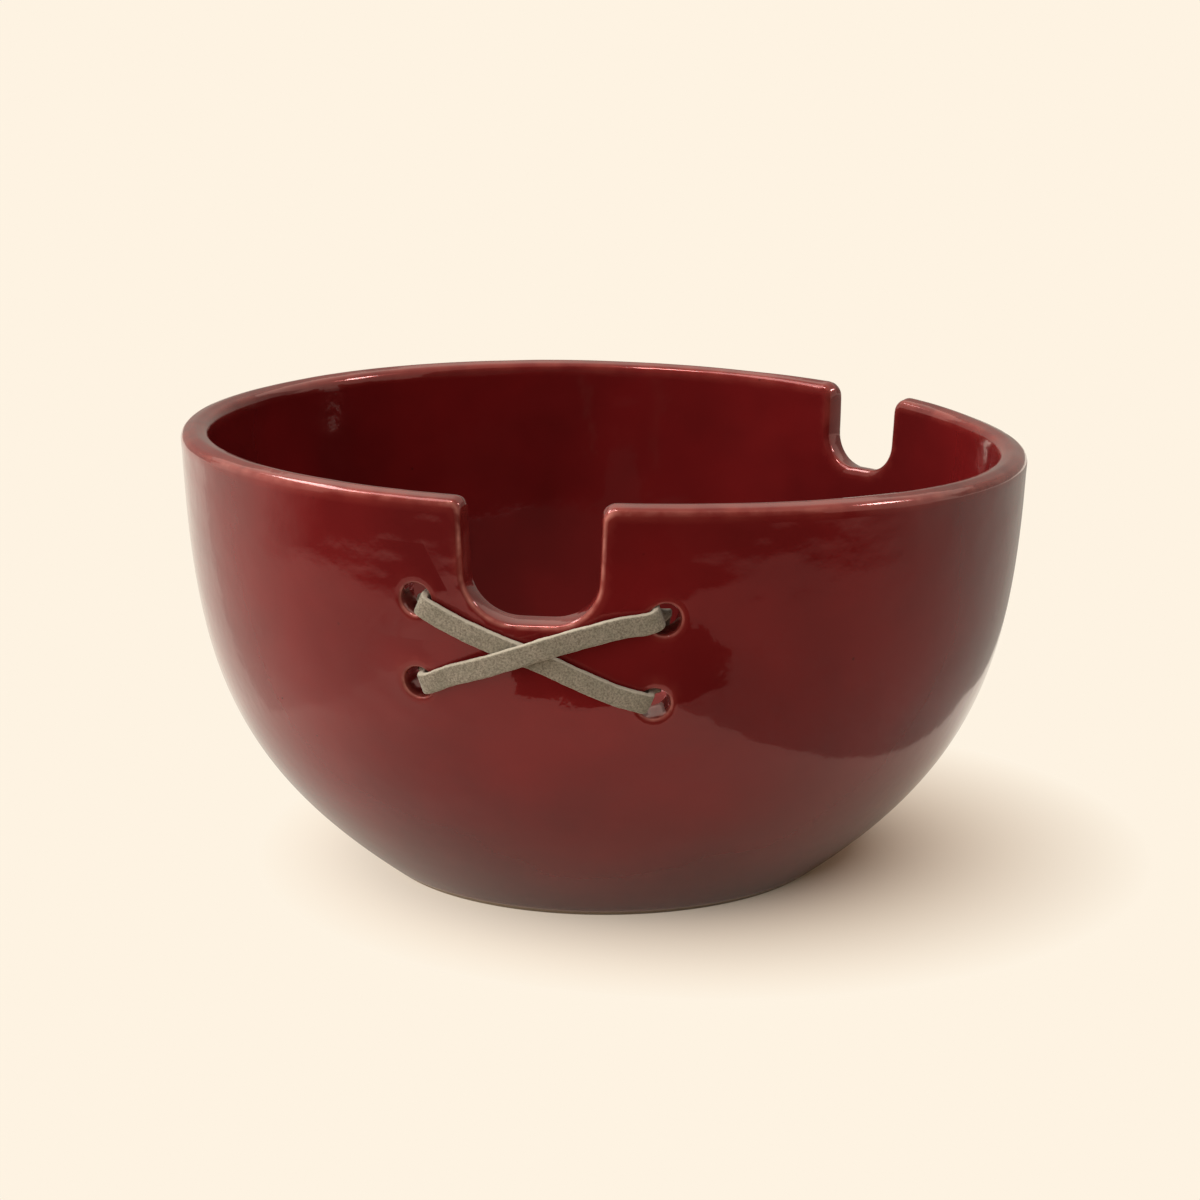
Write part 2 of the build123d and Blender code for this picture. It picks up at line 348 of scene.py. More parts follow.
def face_of_wall(inside):
    """One face of the wall, from its rounded rim down to the window floor: plain rows of quads, and in the two
    windows a mesh that fits round the notches and the holes. Returns the last row."""
    top_row = rim_in if inside else rim_out
    floor_down = float(down_at(window_floor, inside))
    rows_down = round((floor_down - float(down_at(bowl_height, inside))) / pitch)
    plain = [c % columns for c in range(columns)]
    in_window = {}
    for index, (first, last) in enumerate(window_edges):
        for c in range(first + 1, last):
            in_window[c % columns] = index
    store = sheet_in if inside else sheet_out
    downs = np.concatenate(store)
    grid = np.full((rows_down + 1, columns), -1)
    for c in plain:
        if c not in in_window:
            grid[0, c] = top_row[column_at[c]]
    present = np.array([c for c in plain if c not in in_window])
    top_down = downs[grid[0, present]]
    column_turn = np.radians(np.where(present > 180, present - columns, present) * 360 / columns)
    for j in range(1, rows_down):
        down = top_down + (floor_down - top_down) * j / rows_down
        grid[j, present] = add_points(column_turn, down, down, float(inside))
    column = np.arange(columns)
    every_turn = np.radians(np.where(column > 180, column - columns, column) * 360 / columns)
    grid[rows_down] = add_points(every_turn, floor_down, floor_down, float(inside))
    for c in plain:
        after = (c + 1) % columns
        if c in in_window or after in in_window:
            continue
        column_pair = grid[:, [c, after]]
        for j in range(rows_down):
            face = (column_pair[j, 0], column_pair[j + 1, 0], column_pair[j + 1, 1], column_pair[j, 1])
            sheet_faces.append(tuple(reversed(face)) if inside else face)

    for index, (first, last) in enumerate(window_edges):
        start, end = column_at[first % columns], column_at[last % columns]
        top = list(top_row[start : end + 1])
        left, right = list(grid[1:, first % columns]), list(grid[1:, last % columns])
        bottom = [grid[rows_down, c % columns] for c in range(first + 1, last)]
        border = top + right + bottom[::-1] + left[::-1]
        rings = [list(rows[1 if inside else 0]) for rows in hole_rows] if index == 0 else []
        loops = [border, *rings]
        loop_points = [flat(np.array(ids), inside) for ids in loops]
        walls = np.vstack(loop_points)
        scale = rim_radius - (wall if inside else 0)
        seeds, ring_seeds = [], []
        for j in range(1, rows_down):
            for c in range(first + 1, last):
                turn = math.radians((c + (0.5 if j % 2 else 0.0)) * 360 / columns)
                peak = float(down_at(rim_height(turn, scale), inside)) + rim_soft
                seeds.append((turn * scale, peak + (floor_down - peak) * j / rows_down))
        for ring in loop_points[1:]:
            middle = ring.mean(0)
            size = float(np.linalg.norm(ring[0] - middle)) + 0.85
            for k in range(22):
                a = 2 * math.pi * (k + 0.5) / 22
                ring_seeds.append((middle[0] + size * math.cos(a), middle[1] + size * math.sin(a)))
        seeds = np.array(ring_seeds + seeds)
        keep = inside_outline(seeds, loop_points[0])
        for ring in loop_points[1:]:
            keep &= ~inside_outline(seeds, ring)
        keep &= nearest(seeds, walls) > 0.62
        if ring_seeds:
            keep[len(ring_seeds) :] &= nearest(seeds[len(ring_seeds) :], seeds[: len(ring_seeds)]) > 0.8
        seeds = seeds[keep]
        ids = add_points(seeds[:, 0] / scale, seeds[:, 1], seeds[:, 1], float(inside))
        all_ids = np.concatenate([np.array(loop) for loop in loops] + [ids])
        all_points = np.vstack((walls, seeds))
        edges, base = [], 0
        for loop in loops:
            edges += [(base + i, base + (i + 1) % len(loop)) for i in range(len(loop))]
            base += len(loop)
        cut = geometry.delaunay_2d_cdt([Vector(p) for p in all_points], edges, [], 0, 1e-6, True)
        cut_points = np.array([tuple(v) for v in cut[0]])
        origin = [ids_in[0] if ids_in else -1 for ids_in in cut[3]]
        triangles = np.array([f for f in cut[2] if len(f) == 3])
        middles = cut_points[triangles].mean(1)
        keep = inside_outline(middles, loop_points[0])
        for ring in loop_points[1:]:
            keep &= ~inside_outline(middles, ring)
        for tri in triangles[keep]:
            a, b, c = cut_points[tri]
            turn_way = (b[0] - a[0]) * (c[1] - a[1]) - (b[1] - a[1]) * (c[0] - a[0])
            if abs(turn_way) < 1e-5:  # along a straight edge
                continue
            face = tuple(all_ids[origin[i]] for i in tri)
            sheet_faces.append(tuple(reversed(face)) if (turn_way > 0) != inside else face)
    return grid[rows_down]


def rings_down(row, downs, inside, bare=None):
    """Carries a face on down as plain rings, which lose every second point as they close in, to its middle."""
    step = 1
    for k, down in enumerate(downs):
        radius = float(radius_at(down, inside))
        if radius < 0.05:
            break
        lower_step = step * 2 if 2 * math.pi * radius / (columns / step) < 0.5 and step < 8 else step
        turn = np.radians(np.arange(0, columns, lower_step) * 360 / columns)
        weight = 0.0 if bare is None else float(bare[k])
        lower = add_points(turn, down, down, float(inside), 0.0, weight)
        stitch(row, lower, flip=inside)
        row, step = lower, lower_step
    end = add_points(np.zeros(1), downs[-1], downs[-1], float(inside))
    count = len(row)
    for i in range(count):
        face = (row[i], end[0], row[(i + 1) % count])
        sheet_faces.append(tuple(reversed(face)) if inside else face)


outer_row = face_of_wall(False)
start = float(down_at(window_floor))
wall_downs = np.linspace(start, foot_start, round((foot_start - start) / pitch) + 1)[1:]
under_downs = outer_length[len(outer_wall) - foot_cut + 1 :]
ceiling = under_downs[-1] - (foot_inside - foot_slope - 1)
under_downs = np.concatenate((under_downs[under_downs < ceiling], np.linspace(ceiling, under_downs[-1], 24)))
downs = np.concatenate((wall_downs, under_downs))
under_radius = radius_at(downs)
bare = ((downs > foot_start - 0.2) & (under_radius > foot_inside - 0.6)).astype(float)
rings_down(outer_row, downs, False, bare)

inner_row = face_of_wall(True)
start = float(down_at(window_floor, True))
inner_rings = round((inner_length[-1] - start) / inner_pitch)
rings_down(inner_row, np.linspace(start, inner_length[-1], inner_rings + 1)[1:], True)

sheet = {
    "turn": sheet_turn,
    "down_outside": sheet_out,
    "down_inside": sheet_in,
    "through": sheet_through,
    "edge": sheet_edge,
    "bare": sheet_bare,
}
sheet = {name: np.concatenate(parts) for name, parts in sheet.items()}

# the clay is more uneven where it was cut and smoothed by hand, and the glaze thins towards every edge
down = np.where(sheet["through"] > 0.5, sheet["down_inside"], sheet["down_outside"])
spots = np.column_stack((np.cos(sheet["turn"]) * rim_radius, np.sin(sheet["turn"]) * rim_radius, down))
rim_points = np.concatenate([rim_out, rim_in])
hole_points = np.concatenate([row for rows in hole_rows for row in rows])
tree_of_edges = kdtree.KDTree(len(rim_points) + len(hole_points))
for i in np.concatenate((rim_points, hole_points)):
    tree_of_edges.insert(spots[i], int(i))
tree_of_edges.balance()
from_edge = np.array([tree_of_edges.find(spot)[2] for spot in spots])
on_face = (sheet["through"] == 0) | (sheet["through"] == 1)
sheet["edge"] = np.where(on_face, 0.4 * np.exp(-from_edge / 0.35), sheet["edge"])
cut_points = np.array([i for i, way in enumerate(ways) if way[1] > -0.99 or heights[i] < bowl_height - 8])
tree_of_cuts = kdtree.KDTree(len(cut_points) + len(hole_points))
for i in np.concatenate((rim_out[cut_points], hole_points)):
    tree_of_cuts.insert(spots[i], int(i))
tree_of_cuts.balance()
from_cut = np.array([tree_of_cuts.find(spot)[2] for spot in spots])
sheet["worked"] = 0.75 * np.exp(-from_cut / 11) + 0.5 * np.exp(-from_edge / 16)
# a thin pale ring just inside each cut's outer edge, stronger at the notches and holes: partly lighter glaze
# where it breaks over the edge, partly a painted highlight
sheet["ring"] = np.where(sheet["through"] > 0, np.exp(-(((sheet["through"] - 0.045) / 0.035) ** 2)), 0.0)
sheet["ring"] *= np.where(from_cut < 2.5, 1.0, 0.3)
sheet["bead"] = np.where(on_face, np.exp(-(((from_edge - 0.5) / 0.9) ** 2)), 0.0)

bowl_sheet = bpy.data.meshes.new("bowl_sheet")
flat_points = np.column_stack((sheet["turn"] * rim_radius, sheet["through"] * wall, -sheet["down_outside"]))
bowl_sheet.from_pydata((flat_points * MM).tolist(), [], [[int(i) for i in f] for f in sheet_faces])
for name, values in sheet.items():
    if name.startswith("down"):
        values = values * MM
    bowl_sheet.attributes.new(name, "FLOAT", "POINT").data.foreach_set("value", values.astype(np.float32))


def profile_curve(name, profile):
    """A profile as a curve in the plane through the axis and the front, in metres."""
    curve = bpy.data.curves.new(name, "CURVE")
    curve.dimensions = "3D"
    spline = curve.splines.new("POLY")
    spline.points.add(len(profile) - 1)
    for point, (radius, z) in zip(spline.points, profile):
        point.co = (0, -radius * MM, z * MM, 1)
    return bpy.data.objects.new(name, curve)


def put(tree, kind, links=None, **settings):
    """Adds a node. Links are its inputs by name or number, each a value or another node's output."""
    made = tree.nodes.new(kind)
    for key, value in settings.items():
        setattr(made, key, value)
    for key, value in (links or {}).items():
        if isinstance(value, bpy.types.NodeSocket):
            tree.links.new(value, made.inputs[key])
        else:
            made.inputs[key].default_value = value
    return made


def new_tree(name, sockets):
    """An empty geometry tree with named inputs, and its input and output nodes."""
    tree = bpy.data.node_groups.new(name, "GeometryNodeTree")
    tree.interface.new_socket("Geometry", in_out="INPUT", socket_type="NodeSocketGeometry")
    for label, kind in sockets:
        tree.interface.new_socket(label, in_out="INPUT", socket_type="NodeSocket" + kind)
    tree.interface.new_socket("Geometry", in_out="OUTPUT", socket_type="NodeSocketGeometry")
    return tree, tree.nodes.new("NodeGroupInput").outputs, tree.nodes.new("NodeGroupOutput").inputs


def made_by(tree, piece_name, start_data, values):
    """Runs a geometry tree on some data, and returns the plain mesh that it makes as a new object."""
    worker = bpy.data.objects.new(piece_name + "_raw", start_data)
    bpy.context.scene.collection.objects.link(worker)
    modifier = worker.modifiers.new("make", "NODES")
    modifier.node_group = tree
    for item in tree.interface.items_tree:
        if item.in_out == "INPUT" and item.name in values:
            modifier[item.identifier] = values[item.name]
    evaluated = worker.evaluated_get(bpy.context.evaluated_depsgraph_get())
    mesh = bpy.data.meshes.new_from_object(evaluated)
    mesh.name = piece_name
    bpy.data.objects.remove(worker)
    piece = bpy.data.objects.new(piece_name, mesh)
    bpy.context.scene.collection.objects.link(piece)
    return piece


def named(tree, name, kind="FLOAT"):
    return put(tree, "GeometryNodeInputNamedAttribute", {"Name": name}, data_type=kind).outputs["Attribute"]


def maths(tree, operation, a, b=0.0):
    return put(tree, "ShaderNodeMath", {0: a, 1: b}, operation=operation).outputs[0]


glaze = bpy.data.materials.new("oxblood_glaze")

# Throwing: the flat sheet is wrapped round the axis along the wall's two profiles, then made a little uneven
throw, given, result = new_tree(
    "throw_on_the_wheel",
    (
        ("Outside profile", "Object"),
        ("Inside profile", "Object"),
        ("Unevenness", "Float"),
        ("Ripple", "Float"),
        ("Dimples", "Float"),
        ("Bead", "Float"),
        ("Seed", "Vector"),
        ("Finish", "Material"),
    ),
)
faces_of_wall = []
for profile, attribute in (("Outside profile", "down_outside"), ("Inside profile", "down_inside")):
    info = put(throw, "GeometryNodeObjectInfo", {"Object": given[profile]})
    faces_of_wall.append(
        put(
            throw,
            "GeometryNodeSampleCurve",
            {"Curves": info.outputs["Geometry"], "Length": named(throw, attribute)},
            mode="LENGTH",
        ).outputs["Position"]
    )
between = put(
    throw,
    "ShaderNodeMix",
    {0: named(throw, "through"), 4: faces_of_wall[0], 5: faces_of_wall[1]},
    data_type="VECTOR",
).outputs[1]
thrown = put(
    throw, "ShaderNodeVectorRotate", {"Vector": between, "Angle": named(throw, "turn")}, rotation_type="Z_AXIS"
).outputs["Vector"]
shaped = put(throw, "GeometryNodeSetPosition", {"Geometry": given["Geometry"], "Position": thrown}).outputs[0]
place = put(throw, "GeometryNodeInputPosition").outputs[0]
place = put(throw, "ShaderNodeVectorMath", {0: place, 1: given["Seed"]}, operation="ADD").outputs[0]


def roughened(tree, shape, height, given, result):
    """Pushes a shape out by a height at each point, smooths its shading and gives it its finish."""
    outward = put(tree, "GeometryNodeInputNormal").outputs[0]
    push = put(tree, "ShaderNodeVectorMath", {0: outward, "Scale": height}, operation="SCALE").outputs[0]
    shape = put(tree, "GeometryNodeSetPosition", {"Geometry": shape, "Offset": push}).outputs[0]
    shape = put(tree, "GeometryNodeSetShadeSmooth", {"Geometry": shape}).outputs[0]
    shape = put(tree, "GeometryNodeRealizeInstances", {"Geometry": shape}).outputs[0]
    shape = put(tree, "GeometryNodeSetMaterial", {"Geometry": shape, "Material": given["Finish"]}).outputs[0]
    tree.links.new(shape, result[0])


def swell(scale, size, share=None):
    """One size of unevenness, in and out alike, at most by the given size."""
    noise = put(throw, "ShaderNodeTexNoise", {"Vector": place, "Scale": scale, "Detail": 1.0}).outputs[0]
    swing = maths(throw, "MULTIPLY", maths(throw, "SUBTRACT", noise, 0.5), 2.0)
    swing = maths(throw, "MULTIPLY", swing, size)
    return swing if share is None else maths(throw, "MULTIPLY", swing, share)


worked = named(throw, "worked")
uneven = swell(22.0, given["Unevenness"])
uneven = maths(throw, "ADD", uneven, swell(62.0, given["Ripple"], maths(throw, "ADD", worked, 0.22)))
uneven = maths(throw, "ADD", uneven, swell(150.0, given["Dimples"], maths(throw, "ADD", worked, 0.05)))
uneven = maths(throw, "ADD", uneven, maths(throw, "MULTIPLY", named(throw, "bead"), given["Bead"]))
uneven = maths(throw, "MULTIPLY", uneven, maths(throw, "SUBTRACT", 1.0, named(throw, "bare")))
roughened(throw, shaped, uneven, given, result)

outside = profile_curve("outside_profile", outer_profile)
inside = profile_curve("inside_profile", inner_profile)
bowl = made_by(
    throw,
    "thrown_bowl",
    bowl_sheet,
    {
        "Outside profile": outside,
        "Inside profile": inside,
        "Unevenness": 0.16 * MM,
        "Ripple": 0.11 * MM,
        "Dimples": 0.03 * MM,
        "Bead": 0.08 * MM,
        "Seed": (0.37, 0.11, 0.0),
        "Finish": glaze,
    },
)
for helper in (outside, inside):
    bpy.data.objects.remove(helper)

glaze.use_nodes = True
skin = glaze.node_tree
skin.nodes.clear()
where = put(skin, "ShaderNodeTexCoord").outputs["Object"]


def noise_at(tree, where, scale, detail=2.0, roughness=0.5):
    links = {"Vector": where, "Scale": scale, "Detail": detail, "Roughness": roughness}
    return put(tree, "ShaderNodeTexNoise", links).outputs[0]


def remap(tree, value, low, high, to_low=0.0, to_high=1.0):
    links = {"Value": value, "From Min": low, "From Max": high, "To Min": to_low, "To Max": to_high}
    return put(tree, "ShaderNodeMapRange", links).outputs[0]


def blend(tree, share, first, second):
    """Mixes two colours."""
    return put(tree, "ShaderNodeMix", {0: share, 6: first, 7: second}, data_type="RGBA").outputs[2]


def painted(tree, name):
    """An attribute of the mesh, read in a material."""
    return put(tree, "ShaderNodeAttribute", attribute_name=name).outputs["Fac"]


def surface(tree, shader, kind="Material"):
    tree.links.new(shader, put(tree, "ShaderNodeOutput" + kind).inputs["Surface"])


edge = painted(skin, "edge")
deep, rich, thin = (0.108, 0.0070, 0.0072, 1), (0.172, 0.0095, 0.0098, 1), (0.36, 0.07, 0.05, 1)
cloud = remap(skin, noise_at(skin, where, 28.0, 3.0, 0.55), 0.34, 0.66)
colour = blend(skin, cloud, deep, rich)
edge_share = maths(skin, "MULTIPLY", edge, remap(skin, noise_at(skin, where, 160.0, 2.0), 0.35, 0.6, 0.12, 0.5))
colour = blend(skin, edge_share, colour, thin)
# a thin pale broken ring along the cut edges: partly lighter glaze breaking over the edge, partly a painted
# highlight
break_and_highlight_share = remap(skin, noise_at(skin, where, 330.0, 2.0), 0.35, 0.65, 0.1, 0.7)
ring = maths(skin, "MULTIPLY", painted(skin, "ring"), break_and_highlight_share)
colour = blend(skin, ring, colour, (0.66, 0.26, 0.20, 1))
pits = put(skin, "ShaderNodeTexVoronoi", {"Vector": where, "Scale": 190.0}).outputs["Distance"]
pitted = remap(skin, noise_at(skin, where, 33.0, 1.0), 0.60, 0.68)
pits = maths(skin, "MULTIPLY", remap(skin, pits, 0.07, 0.045), pitted)
colour = blend(skin, maths(skin, "MULTIPLY", pits, 0.8), colour, (0.012, 0.003, 0.002, 1))
# the fired glaze lies in slow waves, more so where the clay was worked, over a fine orange peel
flat_way = put(skin, "ShaderNodeVectorMath", {0: where, 1: (1.0, 1.0, 1.9)}, operation="MULTIPLY").outputs[0]
slow = noise_at(skin, flat_way, 40.0, 2.0, 0.45)
waves = maths(skin, "MULTIPLY", slow, maths(skin, "ADD", painted(skin, "worked"), 0.10))
relief = put(skin, "ShaderNodeBump", {"Strength": 1.0, "Distance": 0.0010, "Height": waves}).outputs[0]
relief = put(
    skin,
    "ShaderNodeBump",
    {"Strength": 1.0, "Distance": 0.00003, "Height": noise_at(skin, where, 420.0, 2.0), "Normal": relief},
).outputs[0]
shell = put(
    skin,
    "ShaderNodeBsdfPrincipled",
    {
        "Base Color": colour,
        "Roughness": 0.14,
        "IOR": 1.55,
        "Specular Tint": (1.0, 0.12, 0.1, 1),
        "Coat Weight": 0.47,
        "Coat Roughness": 0.03,
        "Coat IOR": 1.5,
        "Normal": relief,
        "Coat Normal": relief,
    },
)
bare_clay = {"Base Color": (0.42, 0.30, 0.20, 1), "Roughness": 0.9}
stoneware = put(skin, "ShaderNodeBsdfPrincipled", bare_clay).outputs[0]
fired = {0: painted(skin, "bare"), 1: shell.outputs[0], 2: stoneware}
surface(skin, put(skin, "ShaderNodeMixShader", fired).outputs[0])

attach(bowl, "root")
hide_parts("bowl")

# ---- Lace ----
# One strip of flat grey-brown suede, split hide with a fuzzy nap on both faces and paler cut edges. It is
# threaded through the four holes by hand: it crosses itself outside, and runs up and down between holes inside.

lace_width, lace_thickness, lace_gap = 3.8, 1.35, 0.35
lace_off = lace_gap + lace_thickness / 2  # from the wall to the middle of the lace
hole_side = 1.15  # how far from a hole's middle it passes through
step_along, step_across = 0.45, 0.24


def wall_spot(angle, z, inside=False):
    """A place on a face of the wall, the way out of the clay there, and up and right along it."""
    turn = math.radians(angle)
    profile = inner_profile if inside else outer_profile
    near = int(np.argmax(profile[:, 1] < z))
    upper, lower = profile[near - 1], profile[near]
    radius = lower[0] + (upper[0] - lower[0]) * (z - lower[1]) / (upper[1] - lower[1])
    slope = (upper - lower) / np.linalg.norm(upper - lower)
    outward = np.array((math.sin(turn), -math.cos(turn), 0.0))
    rise = np.array((0.0, 0.0, 1.0))
    up = outward * slope[0] + rise * slope[1]
    out = (outward * slope[1] - rise * slope[0]) * (-1 if inside else 1)
    right = np.array((math.cos(turn), math.sin(turn), 0.0))
    return outward * radius + rise * z, out, up, right


def unit(v):
    return v / np.linalg.norm(v)


def through_hole(spot, run, bar, leaving, raised=0.0):
    """Where the lace goes through a hole and which way its face looks. Run is the way that it takes outside,
    bar the way inside, leaving is true where it comes out, and raised is how far above the middle it runs."""
    place, out, rising, _ = wall_spot(*spot)
    place = place + rising * raised
    _, inn, _, _ = wall_spot(spot[0], spot[1] + 0.6, True)
    hidden = place - out * wall
    run = unit(run - out * (run @ out))
    bar = unit(bar - inn * (bar @ inn))
    keys = [
        (place + run * (hole_side + 1.9) + out * lace_off, out),
        (place + run * (hole_side + 0.5) + out * lace_off * 0.72, unit(out * 1.1 - run)),
        (place + run * hole_side - out * 0.7, unit(-run + out * 0.15)),
        (place + run * hole_side * 0.9 - out * 2.4, unit(-run)),
        (hidden + bar * hole_side + out * 0.5, unit(-bar + inn * 0.15)),
        (hidden + bar * (hole_side + 0.5) + inn * lace_off * 0.72, unit(inn * 1.1 - bar)),
        (hidden + bar * (hole_side + 1.9) + inn * lace_off, inn),
    ]
    return keys[::-1] if leaving else keys


def over_wall(spots):
    keys = []
    for angle, z, lift in spots:
        place, out, _, _ = wall_spot(angle, z)
        keys.append((place + out * (lace_off + lift), out))
    return keys


def smooth_line(keys, step):
    """An even line of points through the keys, with a face direction at each."""
    points, faces = (np.array([key[i] for key in keys]) for i in (0, 1))
    fine_points, fine_faces = [], []
    for i in range(len(points) - 1):
        p = [points[max(0, min(len(points) - 1, i + k))] for k in (-1, 0, 1, 2)]
        gaps = [max(1e-6, float(np.linalg.norm(p[k + 1] - p[k])) ** 0.5) for k in range(3)]
        gaps = [gap if gap > 1e-3 else gaps[1] for gap in gaps]
        m1 = (p[2] - p[1]) - gaps[1] * ((p[2] - p[0]) / (gaps[0] + gaps[1]) - (p[1] - p[0]) / gaps[0])
        m2 = (p[2] - p[1]) - gaps[1] * ((p[3] - p[1]) / (gaps[1] + gaps[2]) - (p[3] - p[2]) / gaps[2])
        if i == 0:
            m1 = p[2] - p[1]
        if i == len(points) - 2:
            m2 = p[2] - p[1]
        for t in np.linspace(0, 1, 24, endpoint=False):
            h = (2 * t**3 - 3 * t**2 + 1, t**3 - 2 * t**2 + t, -2 * t**3 + 3 * t**2, t**3 - t**2)
            fine_points.append(h[0] * p[1] + h[1] * m1 + h[2] * p[2] + h[3] * m2)
            w = t * t * (3 - 2 * t)
            fine_faces.append(unit(faces[i] * (1 - w) + faces[i + 1] * w))
    fine_points, fine_faces = np.array(fine_points + [points[-1]]), np.array(fine_faces + [faces[-1]])
    length = lengths(fine_points)
    at = np.linspace(0, length[-1], round(length[-1] / step) + 1)
    line = np.column_stack([np.interp(at, length, fine_points[:, k]) for k in range(3)])
    face = np.column_stack([np.interp(at, length, fine_faces[:, k]) for k in range(3)])
    along = np.gradient(line, axis=0)
    along /= np.linalg.norm(along, axis=1)[:, None]
    face -= along * (face * along).sum(1)[:, None]
    return line, face / np.linalg.norm(face, axis=1)[:, None]


def path_mesh(name, keys, step):
    line, face = smooth_line(keys, step)
    mesh = bpy.data.meshes.new(name)
    mesh.from_pydata((line * MM).tolist(), [(i, i + 1) for i in range(len(line) - 1)], [])
    ways = mesh.attributes.new("face", "FLOAT_VECTOR", "POINT")
    ways.data.foreach_set("vector", face.astype(np.float32).ravel())
    return mesh


suede = bpy.data.materials.new("grey_brown_suede")

# Cutting: a flat strip with softened edges follows the path with its face turned as the path says, and its nap
# and cut edges are roughened
cut, given, result = new_tree(
    "cut_flat_lace",
    (
        ("Width", "Float"),
        ("Thickness", "Float"),
        ("Softness", "Float"),
        ("Pitch", "Float"),
        ("Nap", "Float"),
        ("Wander", "Float"),
        ("Seed", "Vector"),
        ("Finish", "Material"),
    ),
)
rail = put(cut, "GeometryNodeMeshToCurve", {"Mesh": given["Geometry"]}).outputs[0]
facing = named(cut, "face", "FLOAT_VECTOR")
rail = put(cut, "GeometryNodeSetCurveNormal", {"Curve": rail, "Normal": facing}, mode="FREE").outputs[0]
section = put(
    cut, "GeometryNodeCurvePrimitiveQuadrilateral", {"Width": given["Thickness"], "Height": given["Width"]}
).outputs[0]
section = put(
    cut, "GeometryNodeFilletCurve", {"Curve": section, "Radius": given["Softness"], "Count": 3}, mode="POLY"
).outputs[0]
section = put(
    cut, "GeometryNodeResampleCurve", {"Curve": section, "Length": given["Pitch"]}, mode="LENGTH"
).outputs[0]
across = put(cut, "ShaderNodeSeparateXYZ", {0: put(cut, "GeometryNodeInputPosition").outputs[0]}).outputs
share = maths(cut, "DIVIDE", across["Y"], maths(cut, "MULTIPLY", given["Width"], 0.5))
section = put(
    cut,
    "GeometryNodeStoreNamedAttribute",
    {"Geometry": section, "Name": "across", "Value": share},
    data_type="FLOAT",
    domain="POINT",
).outputs[0]
strip = put(
    cut, "GeometryNodeCurveToMesh", {"Curve": rail, "Profile Curve": section, "Fill Caps": True}
).outputs[0]
spot = put(cut, "GeometryNodeInputPosition").outputs[0]
spot = put(cut, "ShaderNodeVectorMath", {0: spot, 1: given["Seed"]}, operation="ADD").outputs[0]
rough = None
for scale, size in ((420.0, given["Wander"]), (1900.0, given["Nap"])):
    noise = put(cut, "ShaderNodeTexNoise", {"Vector": spot, "Scale": scale, "Detail": 2.0}).outputs[0]
    swing = maths(cut, "MULTIPLY", maths(cut, "SUBTRACT", noise, 0.5), size)
    rough = swing if rough is None else maths(cut, "ADD", rough, swing)
roughened(cut, strip, rough, given, result)

upper_left, lower_left, upper_right, lower_right = hole_spots
front_places = [wall_spot(*spot)[0] for spot in hole_spots]
first_run = unit(front_places[3] - front_places[0])  # upper left to lower right, underneath
second_run = unit(front_places[1] - front_places[2])  # upper right to lower left, on top
up, down = np.array((0.0, 0.0, 1.0)), np.array((0.0, 0.0, -1.0))


def inside_key(angle, z, off=0.0):
    place, out, _, _ = wall_spot(angle, z, True)
    return (place + out * (lace_off + off), out)


lace_keys = [inside_key(-15.1, 63.6, 0.3), inside_key(-15.0, 66.0)]
lace_keys += through_hole(upper_left, first_run, down, True)
lace_keys += over_wall(((-9.6, 66.0, 0), (-4.4, 62.9, 0), (1.0, 60.0, 0), (6.0, 56.7, 0.05), (10.4, 53.9, 0.1)))
lace_keys += through_hole(lower_right, -first_run, up, False)
lace_keys += [inside_key(15.6, 59.5, 0.4), inside_key(15.9, 61.5, 0.4)]
lace_keys += through_hole(upper_right, second_run, down, True, 0.9)
lace_keys += over_wall(((10.8, 66.65, 0.35), (6.6, 65.15, 0.9), (2.4, 63.5, 1.75)))
lace_keys += over_wall(((-2.4, 61.0, 1.75), (-6.4, 58.7, 0.9), (-10.4, 56.6, 0.2)))
lace_keys += through_hole(lower_left, -second_run, up, False)
lace_keys += [inside_key(-15.3, 59.2, 0.0), inside_key(-15.1, 61.0, 0.3)]
lace_path = path_mesh("lace_path", lace_keys, step_along)
strip_sizes = {
    "Width": lace_width * MM,
    "Thickness": lace_thickness * MM,
    "Softness": 0.32 * MM,
    "Pitch": step_across * MM,
    "Nap": 0.10 * MM,
    "Wander": 0.30 * MM,
    "Seed": (0.9, 0.2, 0.5),
    "Finish": suede,
}
lace = made_by(cut, "suede_lace", lace_path, strip_sizes)

suede.use_nodes = True
hide = suede.node_tree
hide.nodes.clear()
where = put(hide, "ShaderNodeTexCoord").outputs["Object"]
side = maths(hide, "ABSOLUTE", painted(hide, "across"))
frayed = remap(hide, noise_at(hide, where, 1500.0), 0.0, 1.0, -0.06, 0.06)
cut_edge = remap(hide, maths(hide, "ADD", side, frayed), 0.9, 0.985)
speckle = remap(hide, noise_at(hide, where, 2600.0, 3.0, 0.7), 0.36, 0.64)
patch = remap(hide, noise_at(hide, where, 330.0, 2.0), 0.35, 0.65)
nap_colour = blend(hide, speckle, (0.165, 0.132, 0.094, 1), (0.38, 0.322, 0.242, 1))
nap_colour = blend(hide, maths(hide, "MULTIPLY", patch, 0.35), nap_colour, (0.20, 0.185, 0.13, 1))
colour = blend(hide, cut_edge, nap_colour, (0.52, 0.45, 0.34, 1))
fibres = noise_at(hide, where, 2200.0, 4.0, 0.7)
fuzz = put(hide, "ShaderNodeBump", {"Strength": 0.6, "Distance": 0.0002, "Height": fibres}).outputs[0]
nap = put(
    hide,
    "ShaderNodeBsdfPrincipled",
    {
        "Base Color": colour,
        "Roughness": 0.95,
        "Specular IOR Level": 0.2,
        "Sheen Weight": 0.35,
        "Sheen Roughness": 0.5,
        "Sheen Tint": (0.9, 0.85, 0.75, 1),
        "Normal": fuzz,
    },
)
surface(hide, nap.outputs[0])

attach(lace, "root")
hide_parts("lace")

